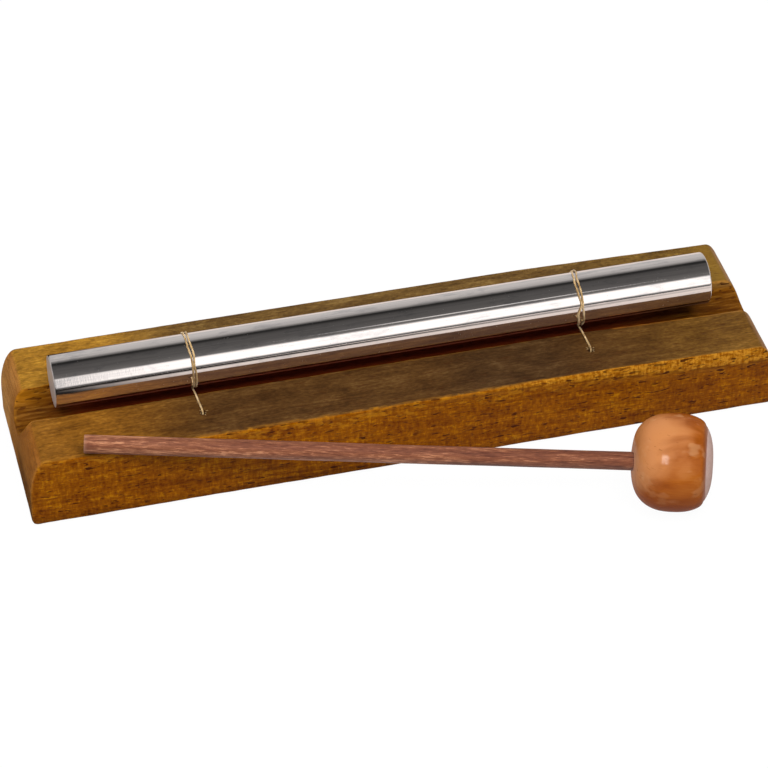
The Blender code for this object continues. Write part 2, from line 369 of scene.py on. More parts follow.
def mark_block(mesh, points):
    """Tells the wood where the holes, the worn bevel and its foot, the edges and the groove are."""
    x, y, z = points.T
    *fields, _ = block_parts(points)
    groove, bevel = fields[2:]
    nearest = np.sort(np.abs(np.stack(fields)), axis=0)
    reach = np.min(hole_reaches(points), axis=0)
    in_hole = smoothstep(HOLE_RADIUS + 0.45, HOLE_RADIUS + 0.1, reach)
    worn_front = smoothstep(18, 45, x) * (y < -BLOCK_HALF_WIDTH + 2.0)
    down = bevel_sizes(x)[1]
    below_top = BLOCK_TOP - worn_down(x) - z
    on_bevel = smoothstep(0.45, 0.15, np.abs(bevel)) * (below_top < down + 0.5)
    foot = smoothstep(0.55, 0.15, np.abs(below_top - down - 0.55)) * worn_front
    set_attribute(mesh, "hole", in_hole * (z > COUNTERBORE_DEPTH))
    set_attribute(mesh, "bevel", worn_front * on_bevel)
    set_attribute(mesh, "bevel_foot", foot * 0.75 * (noise(points, (3, 2, 2), 8) > -0.35))
    set_attribute(mesh, "edge", nearest[1])
    set_attribute(mesh, "groove", smoothstep(0.9, 0.1, np.abs(groove)) * (z < BLOCK_TOP - 0.5))


def make_block(material):
    """The CAD block remeshed finely, then every vertex drawn onto the worn shape."""
    bm = bmesh.new()
    bm.from_mesh(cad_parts["base_block"].data)
    bmesh.ops.remove_doubles(bm, verts=bm.verts, dist=1e-6)
    mesh = bpy.data.meshes.new("wood_block")
    bm.to_mesh(mesh)
    bm.free()
    if "sharp_face" in mesh.attributes:
        mesh.attributes.remove(mesh.attributes["sharp_face"])
    obj = add_object("wood_block", mesh)
    remesh = obj.modifiers.new("remesh", "REMESH")
    remesh.mode = "VOXEL"
    remesh.voxel_size = BLOCK_VOXEL
    depsgraph = bpy.context.evaluated_depsgraph_get()
    dense = bpy.data.meshes.new_from_object(obj.evaluated_get(depsgraph))
    obj.modifiers.clear()
    obj.data = dense
    points = np.zeros(len(dense.vertices) * 3)
    dense.vertices.foreach_get("co", points)
    points = project_to_surface(points.reshape(-1, 3) / MM, block_distance)
    dense.vertices.foreach_set("co", (points * MM).ravel())
    mark_block(dense, points)
    dense.materials.clear()
    dense.materials.append(material)
    dense.shade_smooth()
    dense.update()
    return obj


# ---------------- bar

BAR_SEGMENTS = 160
BAR_EDGE = 0.45              # how far its end edges are broken


def make_bar(material):
    """A turned rod with softly broken end edges and faced ends."""
    half, radius, edge = BAR_HALF_LENGTH, BAR_RADIUS, BAR_EDGE
    end = [(radius, half - edge - extra) for extra in (0.5, 0.15)]
    end += arc(radius - edge, half - edge, edge, 0, 90, 6)
    end += [(radius * share, half) for share in (0.85, 0.6, 0.3, 0.0)]
    other_end = [(r, -z) for r, z in reversed(end)]
    middle = [(radius, z) for z in np.linspace(-half + 6, half - 6, 24)]
    vertices, faces = lathe(other_end + middle + end, BAR_SEGMENTS)
    obj = add_mesh("polished_bar", vertices, faces, material)
    obj.matrix_world = Matrix.Translation(Vector(BAR_CENTRE * MM)) @ Matrix.Rotation(math.pi / 2, 4, "Y")
    return obj


# ---------------- cords

PLIES = 3
TWIST_PITCH = 2.1            # one full twist of the plies, in millimetres
CORD_STEP = 0.22
TURN_ANGLE = 4 * math.pi     # two turns round the bar
TURN_RADIUS = BAR_RADIUS + CORD_RADIUS + 0.02
KNOT_SIZE = 0.40
KNOT_DROP = 1.75             # how far below its counterbore's roof a knot's middle hangs
TURN_HAIRS = 46              # loose hairs on each piece of cord
SPAN_HAIRS = 14
KNOT_HAIRS = 8
TUFT_HAIRS = 14
HOLE_HAIRS = {"left": 7, "right": 16}
# How the two turns wander along the bar: degrees round it from straight below, by way of the back and the
# top, then millimetres along it from the cord's holes.
TURN_LAY = {
    "left": (
        [(-40, -0.65), (60, -1.2), (139, -1.40), (200, -1.35), (229, -0.85), (273, -0.82), (300, -0.62),
         (360, -0.2)],
        [(0, -0.2), (139, -0.38), (190, -0.42), (222, 0.0), (245, -0.28), (265, 0.05), (285, 0.12),
         (400, 0.3)],
    ),
    "right": (
        [(-40, -0.50), (60, -0.1), (139, -0.1), (170, -1.1), (200, -1.60), (220, -1.35), (246, -0.8),
         (270, -1.85), (290, -1.5), (330, -0.5), (360, -0.2)],
        [(0, -0.2), (100, 0.5), (155, 0.45), (188, -0.45), (235, -0.30), (250, -0.45), (268, -0.10),
         (290, 0.15), (400, 0.4)],
    ),
}


def twine(path):
    """Three plies twisted round a path."""
    ply_radius = CORD_RADIUS * 0.50
    offset = CORD_RADIUS - ply_radius
    sides, ups = path_frames(path)
    distance = np.concatenate([[0], np.cumsum(np.linalg.norm(np.diff(path, axis=0), axis=1))])
    shapes = []
    for ply in range(PLIES):
        angle = 2 * math.pi * (distance / TWIST_PITCH + ply / PLIES)
        centre = path + offset * (sides * np.cos(angle)[:, None] + ups * np.sin(angle)[:, None])
        shapes.append(tube(centre, ply_radius, 7))
    return join(shapes)


def hair(root, way, bend, thick, thin, points, corners):
    """A thin tube that leaves its root along way and bends off by bend at its tip."""
    t = np.linspace(0, 1, points)[:, None]
    return tube(root + way * t + bend * t ** 2, np.linspace(thick, thin, points), corners)


def fibres(path, count, rng, reach=1.0):
    """Loose hairs standing off a cord, each rooted inside it."""
    shapes = []
    for _ in range(count):
        root = path[rng.integers(0, len(path))]
        way = rng.normal(size=3)
        way /= np.linalg.norm(way)
        bend = rng.normal(size=3) * 0.35
        length = reach * rng.uniform(0.35, 1.0)
        shapes.append(hair(root, way * length, bend * length, 0.035, 0.012, 6, 4))
    return shapes


def first_contact():
    """The angle from straight below at which a cord that comes over the groove's edge meets the bar."""
    lift = BLOCK_TOP + CORD_RADIUS
    edge = np.array([GROOVE_HALF_WIDTH + 0.5, lift - BAR_CENTRE[2]])
    reach = np.hypot(*edge)
    to_edge = math.atan2(edge[0], -edge[1])
    return to_edge - math.acos(TURN_RADIUS / reach)


def lay(knots, degrees):
    """Smooth interpolation between a turn's knots."""
    at, offset = np.array(knots).T
    step = np.clip(np.searchsorted(at, degrees) - 1, 0, len(at) - 2)
    share = smoothstep(at[step], at[step + 1], degrees)
    return offset[step] + (offset[step + 1] - offset[step]) * share


def turns_path(side):
    """Two turns of cord, from the front contact round the back and over the top, twice."""
    contact = first_contact()
    angle = np.arange(-contact, TURN_ANGLE + contact, CORD_STEP / TURN_RADIUS)
    degrees = np.degrees(angle)
    first, second = TURN_LAY[side]
    x_first, x_second = lay(first, degrees), lay(second, degrees - 360)
    x = CORD_X[side] + np.where(degrees < 360, x_first, x_second)
    # The second turn rides up on the first where they lie closer than a cord's width
    gap = np.abs(x_second - lay(first, degrees - 360))
    climb = np.sqrt(np.maximum((2 * CORD_RADIUS) ** 2 - gap ** 2, 0))
    within = degrees - 360
    climb *= smoothstep(40, 90, within) * smoothstep(350, 310, within)
    radius = TURN_RADIUS + climb
    y = BAR_CENTRE[1] + radius * np.sin(angle)
    z = BAR_CENTRE[2] - radius * np.cos(angle)
    return np.stack([x, y, z], axis=1)


def span_path(side, where):
    """From the turns' end, over the groove's edge, along the rail and down the hole to the knot."""
    sign = SIDE_SIGNS[where]
    start = turns_path(side)[0 if where == "front" else -1]
    lift = BLOCK_TOP + CORD_RADIUS + 0.02
    hole_x = CORD_X[side]
    bend = 0.9
    edge_share = (GROOVE_HALF_WIDTH + 0.5 - abs(start[1])) / (HOLE_Y - abs(start[1]))
    edge_x = start[0] + (hole_x - start[0]) * edge_share
    points = [
        tuple(start),
        (edge_x, sign * (GROOVE_HALF_WIDTH + 0.3), lift - 0.03),
        (edge_x, sign * (GROOVE_HALF_WIDTH + 0.8), lift),
    ]
    points += [(hole_x, sign * y, z) for y, z in arc(HOLE_Y - bend, lift - bend, bend, 90, 0, 6)]
    points.append((hole_x, sign * HOLE_Y, COUNTERBORE_DEPTH - 0.9))
    return smooth_path(resample(points, CORD_STEP), 4)


def smooth_path(path, rounds):
    """Rounds off a path's corners; its ends stay."""
    for _ in range(rounds):
        path[1:-1] = (path[:-2] + 2 * path[1:-1] + path[2:]) / 4
    return path


def knot_path():
    """An overhand knot with a short tail, about its own middle."""
    t = np.linspace(0.35, 2 * math.pi - 0.25, 90)
    x = np.sin(t) + 2 * np.sin(2 * t)
    y = np.cos(t) - 2 * np.cos(2 * t)
    return np.stack([x, y, -1.25 * np.sin(3 * t)], axis=1) * KNOT_SIZE


def make_cords(material):
    """All pieces of both cords, each with its kind, its side and whether it is at the front or the rear."""
    rng = np.random.default_rng(SEED)
    made = []

    def add(name, path, extras, *what):
        made.append((add_mesh(name, *join([twine(path)] + extras), material), *what))

    for side in CORD_SIDES:
        turns = turns_path(side)
        hairs = fibres(turns, TURN_HAIRS, rng)
        if side == "right":
            hairs += fray_tuft(turns, rng)
        add(f"{side}_cord_turns", turns, hairs, "turns", side, None)
        for where, sign in SIDE_SIGNS.items():
            path = span_path(side, where)
            hairs = fibres(path[: len(path) // 2], SPAN_HAIRS, rng, 0.7) + hole_fray(side, sign, rng)
            add(f"{side}_{where}_cord_span", path, hairs, "span", side, where)
            knot = knot_path() + (CORD_X[side], sign * HOLE_Y, COUNTERBORE_DEPTH - KNOT_DROP)
            hairs = fibres(knot, KNOT_HAIRS, rng, 0.8)
            add(f"{side}_{where}_cord_knot", resample(knot, CORD_STEP), hairs, "knot", side, where)
    return made


def hole_fray(side, sign, rng):
    """Loose fibres round the place where the cord goes down its hole."""
    middle = np.array([CORD_X[side], sign * HOLE_Y, BLOCK_TOP + 0.05])
    arch = np.array([0.0, 0.0, 0.12])
    shapes = []
    for _ in range(HOLE_HAIRS[side]):
        turn = rng.uniform(0, 2 * math.pi)
        out = np.array([math.cos(turn), math.sin(turn), 0.0])
        root = middle + out * rng.uniform(0.55, 1.1)
        way = out * rng.uniform(0.3, 0.9) + arch
        bend = rng.normal(size=3) * np.array([0.15, 0.15, 0.0]) - arch
        shapes.append(hair(root, way, bend, 0.07, 0.03, 5, 5))
    return shapes


def fray_tuft(turns, rng):
    """A little frayed end that stands off the lower front of a turn."""
    away = np.abs(turns[:, 1] + BAR_RADIUS * 0.93) + np.abs(turns[:, 2] - BAR_CENTRE[2] + 2.5)
    root = turns[np.argmin(away)]
    bend = np.array([0.0, 0.0, -0.4])
    shapes = []
    for _ in range(TUFT_HAIRS):
        way = np.array([-1.0, -0.35, 0.25]) + rng.normal(size=3) * 0.35
        shapes.append(hair(root, way * rng.uniform(0.6, 1.6), bend, 0.07, 0.02, 7, 5))
    return shapes


# ---------------- mallet

def end_centre(points, along):
    """The centre of a turned stick's flat end, where along is greatest."""
    ring = np.unique(points[along > along.max() - 0.1].round(3), axis=0)
    return ring.mean(axis=0)


def about_axis(points, middle, axis):
    """How far each point is along an axis through middle, and how far off it."""
    along = (points - middle) @ axis
    return along, np.linalg.norm(points - middle - np.outer(along, axis), axis=1)


def mallet_frame():
    """The mallet's place, its local Z along the stick and its origin mid-head, and its sizes."""
    stick, head = node_points("mallet_handle"), node_points("mallet_head")
    middle = stick.mean(axis=0)
    guess = np.linalg.svd(stick - middle, full_matrices=False)[2][0]
    guess *= np.sign((head.mean(axis=0) - middle) @ guess)
    along = (stick - middle) @ guess
    axis = end_centre(stick, along) - end_centre(stick, -along)
    axis /= np.linalg.norm(axis)
    middle = end_centre(stick, along)
    along, off_axis = about_axis(head, middle, axis)
    widest = along[np.argmax(off_axis)]
    origin = middle + axis * widest
    turn = Vector(axis).to_track_quat("Z", "Y").to_matrix().to_4x4()
    stick_along, stick_off_axis = about_axis(stick, middle, axis)
    sizes = {
        "tip": stick_along.min() - widest,
        "stick_radius": stick_off_axis.max(),
        "head_radius": off_axis.max(),
        "head_back": along.min() - widest,
    }
    return Matrix.Translation(Vector(origin * MM)) @ turn, sizes


MALLET_PLACE, MALLET = mallet_frame()
HEAD_WIDEST_AT = 1.0         # the belly's widest place, ahead of the head's middle
HEAD_BACK_LENGTH = 12.7      # from there to the stick side
HEAD_FRONT_LENGTH = 12.0     # and to the striking end
END_RIM = 10.3               # where the pale striking end begins, on the axis
END_TILT = 0.20              # it was sanded out of square: lower on the viewer's side
END_DROOP = 0.015            # and a little lower underneath
END_DOME = 2.4               # how far the end swells in its middle, and how wide the swelling is
END_DOME_RADIUS = 11.5
END_ROUND = 1.8              # how softly the end meets the belly
BARREL_POWERS = (2.4, 0.295)            # the higher and the lower they are, the squarer the head
STICK_IN_HEAD = 8.0
STICK_SEGMENTS = 72
HEAD_SEGMENTS = 144


def barrel_radius(share):
    """The turned head's radius at a share of the way from its belly to either end."""
    along_power, radius_power = BARREL_POWERS
    return MALLET["head_radius"] * np.maximum(1 - share ** along_power, 0) ** radius_power


def head_profile():
    """The turned head from the stick side to the striking end, as (radius, height)."""
    share = np.sin(np.linspace(0, math.pi / 2, 60))
    back = [(barrel_radius(u), HEAD_WIDEST_AT - HEAD_BACK_LENGTH * u) for u in share[::-1]]
    front = [(barrel_radius(u), HEAD_WIDEST_AT + HEAD_FRONT_LENGTH * u) for u in share[1:]]
    return [(0.0, back[0][1])] + back[1:] + front[:-1] + [(0.0, front[-1][1])]


def make_head(material):
    vertices, faces = lathe(head_profile(), HEAD_SEGMENTS)
    wobble = noise(vertices, 9, 21) * 0.10 + noise(vertices, 3.2, 22) * 0.035
    outward = vertices / np.maximum(np.linalg.norm(vertices, axis=1), 1e-6)[:, None]
    vertices = vertices - outward * np.abs(wobble)[:, None]
    to_local = MALLET_PLACE.to_3x3().inverted()
    near_side = np.array(to_local @ VIEW_BACK)[:2]
    underside = np.array(to_local @ Vector((0, 0, -1)))[:2]
    lean = END_TILT * near_side / np.linalg.norm(near_side)
    lean += END_DROOP * underside / np.linalg.norm(underside)
    rim = END_RIM - vertices[:, :2] @ lean
    reach = np.hypot(vertices[:, 0], vertices[:, 1])
    dome = END_DOME * np.maximum(1 - (reach / END_DOME_RADIUS) ** 3, 0)
    facet = rim + dome + noise(vertices, 4, 23) * 0.05
    meeting = np.maximum(1 - np.abs(vertices[:, 2] - facet) / END_ROUND, 0)
    vertices[:, 2] = np.minimum(vertices[:, 2], facet) - meeting ** 2 * END_ROUND / 4
    above = vertices[:, 2] - rim
    obj = add_mallet_mesh("mallet_ball", vertices, faces, material)
    set_attribute(obj.data, "end_face", smoothstep(0.05, 0.40, above))
    set_attribute(obj.data, "end_rim", smoothstep(-1.1, -0.1, above) * smoothstep(0.35, 0.05, above))
    return obj


def add_mallet_mesh(name, vertices, faces, material):
    """Puts a mallet piece in its place and keeps its own coordinates for its material."""
    corners = np.concatenate([vertices * MM, np.ones((len(vertices), 1))], axis=1)
    placed = (corners @ np.array(MALLET_PLACE).T)[:, :3] / MM
    placed[:, 2] = np.maximum(placed[:, 2], 0)
    obj = add_mesh(name, placed, faces, material)
    attribute = obj.data.attributes.new("own_place", "FLOAT_VECTOR", "POINT")
    attribute.data.foreach_set("vector", (vertices * MM).astype(np.float32).ravel())
    return obj


def make_handle(material):
    """A hand-planed stick: a fine lathe with long shallow flutes and a rough-sawn tip."""
    radius, tip = MALLET["stick_radius"], MALLET["tip"]
    inner = MALLET["head_back"] + STICK_IN_HEAD
    profile = [(0.0, tip), (radius * 0.5, tip), (radius - 0.3, tip)]
    profile += [(radius - 0.08, tip + 0.12), (radius, tip + 0.4)]
    profile += [(radius, z) for z in np.arange(tip + 1.2, inner, 0.9)]
    profile += [(radius * 0.5, inner), (0.0, inner)]
    vertices, faces = lathe(profile, STICK_SEGMENTS)
    reach = np.hypot(vertices[:, 0], vertices[:, 1])
    grain = noise(vertices, (0.55, 0.55, 14), 31) * 0.055 + noise(vertices, (1.6, 1.6, 40), 32) * 0.07
    scale = 1 + np.where(reach > radius * 0.8, (grain - 0.05) / radius, 0)
    vertices[:, :2] *= scale[:, None]
    at_tip = vertices[:, 2] < tip + 0.05
    vertices[at_tip, 2] += noise(vertices, 0.7, 33)[at_tip] * 0.12 + 0.1
    obj = add_mallet_mesh("mallet_stick", vertices, faces, material)
    set_attribute(obj.data, "tip_face", smoothstep(tip + 0.5, tip + 0.3, vertices[:, 2]))
    obj.data.set_sharp_from_angle(angle=math.radians(55))
    return obj


# ---------------- material nodes

class Nodes:
    """Adds nodes to a tree and links them. A source is a socket, a number or a tuple."""

    def __init__(self, tree):
        self.tree = tree

    def link(self, source, target):
        if isinstance(source, (int, float, tuple)):
            target.default_value = source
        else:
            self.tree.links.new(source, target)

    def add(self, kind, inputs=(), **settings):
        """The outputs of a new node, after its inputs (by name or number) and settings are in."""
        node = self.tree.nodes.new("ShaderNode" + kind)
        for name, value in settings.items():
            setattr(node, name, value)
        for socket, source in dict(inputs).items():
            self.link(source, node.inputs[socket])
        return node.outputs

    def math(self, operation, a, b=0.0):
        return self.add("Math", {0: a, 1: b}, operation=operation)[0]

    def times(self, a, b):
        return self.math("MULTIPLY", a, b)

    def plus(self, a, b):
        return self.math("ADD", a, b)

    def size(self, value):
        return self.math("ABSOLUTE", value)

    def rest_of(self, share):
        """What a share leaves of one."""
        return self.math("SUBTRACT", 1.0, share)

    def weighted(self, *pairs):
        """The sum of (value, weight) pairs."""
        total = self.times(*pairs[0])
        for value, weight in pairs[1:]:
            total = self.plus(total, self.times(value, weight))
        return total

    def line(self, value, low, high, to_low=0.0, to_high=1.0, shape="LINEAR"):
        """Goes from to_low to to_high as value goes from low to high, in a straight line."""
        limits = {"From Min": low, "From Max": high, "To Min": to_low, "To Max": to_high}
        return self.add("MapRange", {"Value": value, **limits}, interpolation_type=shape)["Result"]

    def range(self, value, low, high, to_low=0.0, to_high=1.0):
        """The same with soft ends."""
        return self.line(value, low, high, to_low, to_high, "SMOOTHSTEP")

    def ramp(self, value, stops):
        """A colour ramp: stops are (position, grey) or (position, (r, g, b))."""
        node = self.tree.nodes.new("ShaderNodeValToRGB")
        elements = node.color_ramp.elements
        while len(elements) < len(stops):
            elements.new(0.5)
        for element, (position, color) in zip(elements, stops):
            if isinstance(color, float):
                color = (color, color, color)
            element.position = position
            element.color = (*color, 1.0)
        self.link(value, node.inputs["Fac"])
        return node.outputs["Color"]

    def parts(self, vector):
        return self.add("SeparateXYZ", {0: vector})

    def attribute(self, name):
        return self.add("Attribute", attribute_name=name)


class Shader(Nodes):
    """A material with one Principled BSDF, and the nodes that feed it."""

    def __init__(self, name, place=None):
        self.material = bpy.data.materials.new(name)
        self.material.use_nodes = True
        super().__init__(self.material.node_tree)
        self.surface = self.tree.nodes["Principled BSDF"]
        self.place = self.attribute(place)["Vector"] if place else self.add("TexCoord")["Object"]
        self.along = dict(zip("xyz", self.parts(self.place)))

    def set(self, name, source):
        self.link(source, self.surface.inputs[name])

    def noise(self, cells_mm, detail=3.0, roughness=0.55, distortion=0.0, tipped=0.0, offset=(0.0, 0.0, 0.0)):
        """Noise whose cells are cells_mm long along each axis, tipped by degrees about X."""
        scale = tuple(1 / (size * MM) for size in cells_mm)
        turn = (math.radians(tipped), 0.0, 0.0)
        mapping = {"Scale": scale, "Rotation": turn, "Location": offset, "Vector": self.place}
        vector = self.add("Mapping", mapping)["Vector"]
        look = {"Scale": 1.0, "Detail": detail, "Roughness": roughness, "Distortion": distortion}
        return self.add("TexNoise", {"Vector": vector, **look})["Fac"]

    def mark(self, name):
        """The value of a mesh attribute."""
        return self.attribute(name)["Fac"]

    def fade(self, axis, low_mm, high_mm, to_low=0.0, to_high=1.0):
        """Goes from to_low to to_high as the place along an axis goes from low_mm to high_mm."""
        return self.range(self.along[axis], low_mm * MM, high_mm * MM, to_low, to_high)

    def mix(self, factor, a, b, blend="MIX"):
        """Colour a covered by colour b, by factor."""
        a, b = ((*color, 1.0) if isinstance(color, tuple) else color for color in (a, b))
        inputs = {"Factor": factor, 6: a, 7: b}
        return self.add("Mix", inputs, data_type="RGBA", blend_type=blend)[2]

    def cover(self, color, *layers):
        """A colour under layers of (where they lie, their colour, and how strong they are if not fully)."""
        for where, paint, *strength in layers:
            color = self.mix(self.times(where, *strength) if strength else where, color, paint)
        return color

    def tint(self, color, factors):
        """A colour multiplied by another."""
        return self.mix(1.0, color, factors, "MULTIPLY")

    def normal(self, kind="TexCoord"):
        """The surface's own direction: in the object's frame, or with NewGeometry in the room's."""
        return self.parts(self.add(kind)["Normal"])

    def bump(self, height, distance_mm, strength=1.0, before=None):
        inputs = {"Distance": distance_mm * MM, "Strength": strength, "Height": height}
        if before is not None:
            inputs["Normal"] = before
        return self.add("Bump", inputs)["Normal"]


# Wood colours from dark to light, in linear light, by the grain's tone
SIDE_STOPS = [(0.38, (0.104, 0.022, 0.0)), (0.47, (0.197, 0.052, 0.0)), (0.54, (0.277, 0.083, 0.0)),
              (0.63, (0.460, 0.180, 0.001))]
# The rails' stops are darker and greyer than the sides': the greyness is painted sheen.
RAIL_STOPS = [(0.36, (0.045, 0.017, 0.003)), (0.46, (0.085, 0.034, 0.006)), (0.54, (0.125, 0.052, 0.009)),
              (0.65, (0.20, 0.092, 0.018))]
GROOVE_STOPS = [(0.34, (0.11, 0.032, 0.002)), (0.52, (0.22, 0.080, 0.005)), (0.66, (0.38, 0.170, 0.024))]
WOOD_SPECULAR = 0.05
DARKER_STRETCH_AT = 34              # the middle of the darker stretch of the front rail


def rail_wood_and_painted_light(s, tone):
    """The rails' tops: the wood's tone greyed by painted sheen, lighter at the ends, lighter at the rear as
    painted light, and darker along a stretch of the front rail's middle.
    """
    rail = s.ramp(tone, RAIL_STOPS)
    # Painted sheen: away from the left end the tops are darker and bluer, standing in for the white room's
    # reflection; the left end is lighter.
    rail = s.mix(s.fade("x", -55, -95), s.tint(rail, (0.66, 0.72, 1.10)), s.tint(rail, (1.72, 1.66, 1.05)))
    rail = s.mix(s.fade("x", 55, 112), rail, s.tint(rail, (1.9, 1.95, 1.25)))
    off_middle = s.size(s.math("SUBTRACT", s.along["x"], DARKER_STRETCH_AT * MM))
    # Darker and greyer along a stretch of the front rail's middle.
    handled = s.times(s.range(off_middle, 0.030, 0.008, 0.0, 0.7), s.fade("y", -4, -8))
    right_end = s.times(s.fade("x", 100, 112, 0.0, 0.7), s.fade("y", -12, 0))
    rail = s.cover(rail, (handled, s.tint(rail, (0.62, 0.68, 0.95))), (right_end, (0.180, 0.080, 0.010)))
    # Painted light: the rear rail is lighter and greyer, standing in for light from behind.
    rear_painted_light = s.mix(s.fade("x", 55, 112), (1.70, 2.05, 2.1), (1.15, 1.35, 1.5))
    return s.mix(s.fade("y", 4, 8), rail, s.tint(rail, rear_painted_light))


def end_wood_and_painted_light(s):
    """End grain: paler at the rear, paler and greyer on the right end as a painted highlight, darker low in
    front as painted shade, with year lines and pores.
    """
    # Painted shade: the end's lower front is darkened where it lies in shadow.
    low_front_painted_shade = s.times(s.fade("y", 4, -10), s.fade("z", 18, 10))
    color = s.cover(
        s.mix(s.noise((4, 2.4, 2.4), 5, 0.6), (0.20, 0.066, 0.009), (0.40, 0.185, 0.045)),
        (s.fade("y", 6, 14, 0.0, 0.8), (0.46, 0.235, 0.075)),
        # Painted highlight: the right end is paler and greyer, for the sheen on its rounding.
        (s.fade("x", 0, 100, 0.0, 0.7), (0.30, 0.20, 0.115)),
        (low_front_painted_shade, (0.030, 0.010, 0.003), 0.62),
    )
    years = s.noise((9, 7.0, 0.62), 3, 0.55, 0.25, tipped=14)
    pores = s.range(s.noise((2.5, 0.36, 0.36), 1, 0.4, offset=(2, 6, 3)), 0.60, 0.68)
    color = s.cover(
        s.tint(color, s.mix(s.fade("z", 12, 20), (1.22, 1.18, 1.10), (0.80, 0.70, 0.55))),
        (s.range(years, 0.44, 0.60, 0.0, 0.42), (0.115, 0.036, 0.005)),
        (pores, (0.045, 0.014, 0.003), 0.55),
    )
    return s.tint(color, (1.22, 1.22, 1.18))


def groove_wood_and_painted_shade(s):
    """Oiled fibres with painted shade and light: darker deep down, a painted shadow of the bar under it, and
    lighter at the groove's open ends where light reaches.
    """
    color = s.ramp(s.noise((11, 0.7, 0.7), 5, 0.7), GROOVE_STOPS)
    return s.cover(
        # Painted shade: darker deep down, lighter near the top.
        s.tint(color, s.mix(s.fade("z", 16.5, 22.5), (0.55, 0.50, 0.45), (1.30, 1.30, 1.30))),
        # Painted shadow of the bar.
        (s.times(s.fade("x", -108.5, -89.5), s.fade("x", 102, 62)), (0.185, 0.026, 0.007), 0.85),
        # Painted light at the groove's open ends.
        (s.times(s.fade("x", 95, 110), s.fade("z", 19.5, 21.5, 0.0, 0.7)), (0.32, 0.165, 0.042)),
        (s.times(s.fade("x", -104, -112), s.fade("z", 18.5, 21.5, 0.0, 0.7)), (0.34, 0.125, 0.004)),
    )


def pore_places(s, upward, endward):
    """Where dark pores open: in patches and all over the lower right, faint on top, none on the ends."""
    pores = s.range(s.noise((2.6, 0.55, 0.55), 1, 0.4), 0.655, 0.70)
    big_pores = s.range(s.noise((4.4, 1.1, 1.1), 1, 0.4, offset=(5, 3, 1)), 0.655, 0.685)
    low_right = s.times(s.fade("x", 20, 70), s.fade("z", 17, 8))
    patches = s.range(s.noise((16, 7, 7), 2, offset=(1, 8, 4)), 0.36, 0.54, 0.6, 1.0)
    where = s.math("MAXIMUM", patches, low_right)
    dark = s.math("MAXIMUM", s.times(s.times(pores, where), 0.9), s.times(big_pores, where))
    dark = s.times(dark, s.range(upward, 0.5, 0.9, 1.0, 0.35))
    return s.times(dark, s.rest_of(endward))


def block_wood():
    """Oiled hardwood: amber sides with dark pores, rails greyed by painted sheen, paler end grain, bright
    edges that are partly worn and partly painted highlight, painted shade in the groove, the holes and along
    the bottom, and a painted reflection in the bar.
    """
    s = Shader("block_wood")
    normal = s.normal()
    clouds = s.noise((13, 6, 6), 4, 0.62, 0.5)
    lines = s.noise((30, 1.2, 1.2), 4, 0.6, 0.9)
    ticks = s.noise((0.75, 2.4, 2.4), 3, 0.6)
    grit = s.noise((1.5, 0.7, 0.7), 3, 0.6)
    fine = s.noise((3.5, 0.28, 0.28), 4, 0.65)
    side_tone = s.weighted((clouds, 0.20), (ticks, 0.28), (grit, 0.26), (lines, 0.26))
    rail_tone = s.weighted((clouds, 0.42), (lines, 0.26), (grit, 0.32))
    endward = s.range(s.size(normal[0]), 0.30, 0.85)
    # Lighter edges: partly rubbed wood, partly a painted highlight along the arrises.
    rubbed_and_highlit = s.range(s.noise((6, 1.5, 1.5), 4, 0.65), 0.40, 0.60)
    worn = s.times(s.range(s.mark("edge"), 1.1, 0.15), rubbed_and_highlit)
    # The worn bevel: lighter worn wood with bright specks, and a painted highlight along the front top edge.
    sparkle = s.range(s.plus(ticks, grit), 0.84, 1.20)
    bevel_wear_and_highlight = s.mix(sparkle, (0.24, 0.072, 0.001), (0.50, 0.215, 0.016))
    # Bright amber patches on the front face just under its top edge: partly rubbed wood, partly painted
    # highlight.
    upper = s.times(s.fade("z", 17.5, 21), s.fade("y", -26.2, -27.2))
    amber = s.times(upper, s.range(s.noise((3.2, 1.5, 1.5), 3, offset=(4, 4, 4)), 0.50, 0.66))
    dark = pore_places(s, normal[2], endward)
    in_metal = s.add("LightPath")["Is Glossy Ray"]
    color = s.cover(
        s.ramp(side_tone, SIDE_STOPS),
        (s.range(normal[2], 0.55, 0.92), rail_wood_and_painted_light(s, rail_tone)),
        (endward, end_wood_and_painted_light(s)),
        (s.mark("groove"), groove_wood_and_painted_shade(s)),
        (worn, (0.40, 0.16, 0.014), 0.4),
        (s.mark("bevel"), bevel_wear_and_highlight),
        (s.mark("bevel_foot"), (0.10, 0.025, 0.001)),
        (amber, (0.46, 0.185, 0.006), 0.6),
        (dark, (0.038, 0.007, 0.001), 0.92),
        (s.range(fine, 0.54, 0.34, 0.0, 0.30), (0.04, 0.012, 0.002)),
        # Painted shade: darker towards the bottom, where the block meets the floor.
        (s.fade("z", 4, 0, 0.0, 0.35), (0.04, 0.012, 0.002)),
        # Painted shade: dark inside the cord holes.
        (s.mark("hole"), (0.020, 0.006, 0.002), 0.9),
        # Painted reflection: the wood is paler and greyer as the bar reflects it, and darker towards the
        # right.
        (in_metal, (0.21, 0.13, 0.12), 0.11),
        (s.times(in_metal, s.fade("x", 55, 100, 0.0, 0.5)), (0.03, 0.012, 0.006)),
    )
    s.set("Base Color", color)
    s.set("Roughness", s.range(fine, 0.3, 0.7, 0.34, 0.55))
    s.set("Specular IOR Level", WOOD_SPECULAR)
    rough = s.bump(s.math("SUBTRACT", fine, dark), 0.09, 0.8)
    s.set("Normal", s.bump(s.plus(lines, ticks), 0.10, 0.5, rough))
    return s.material


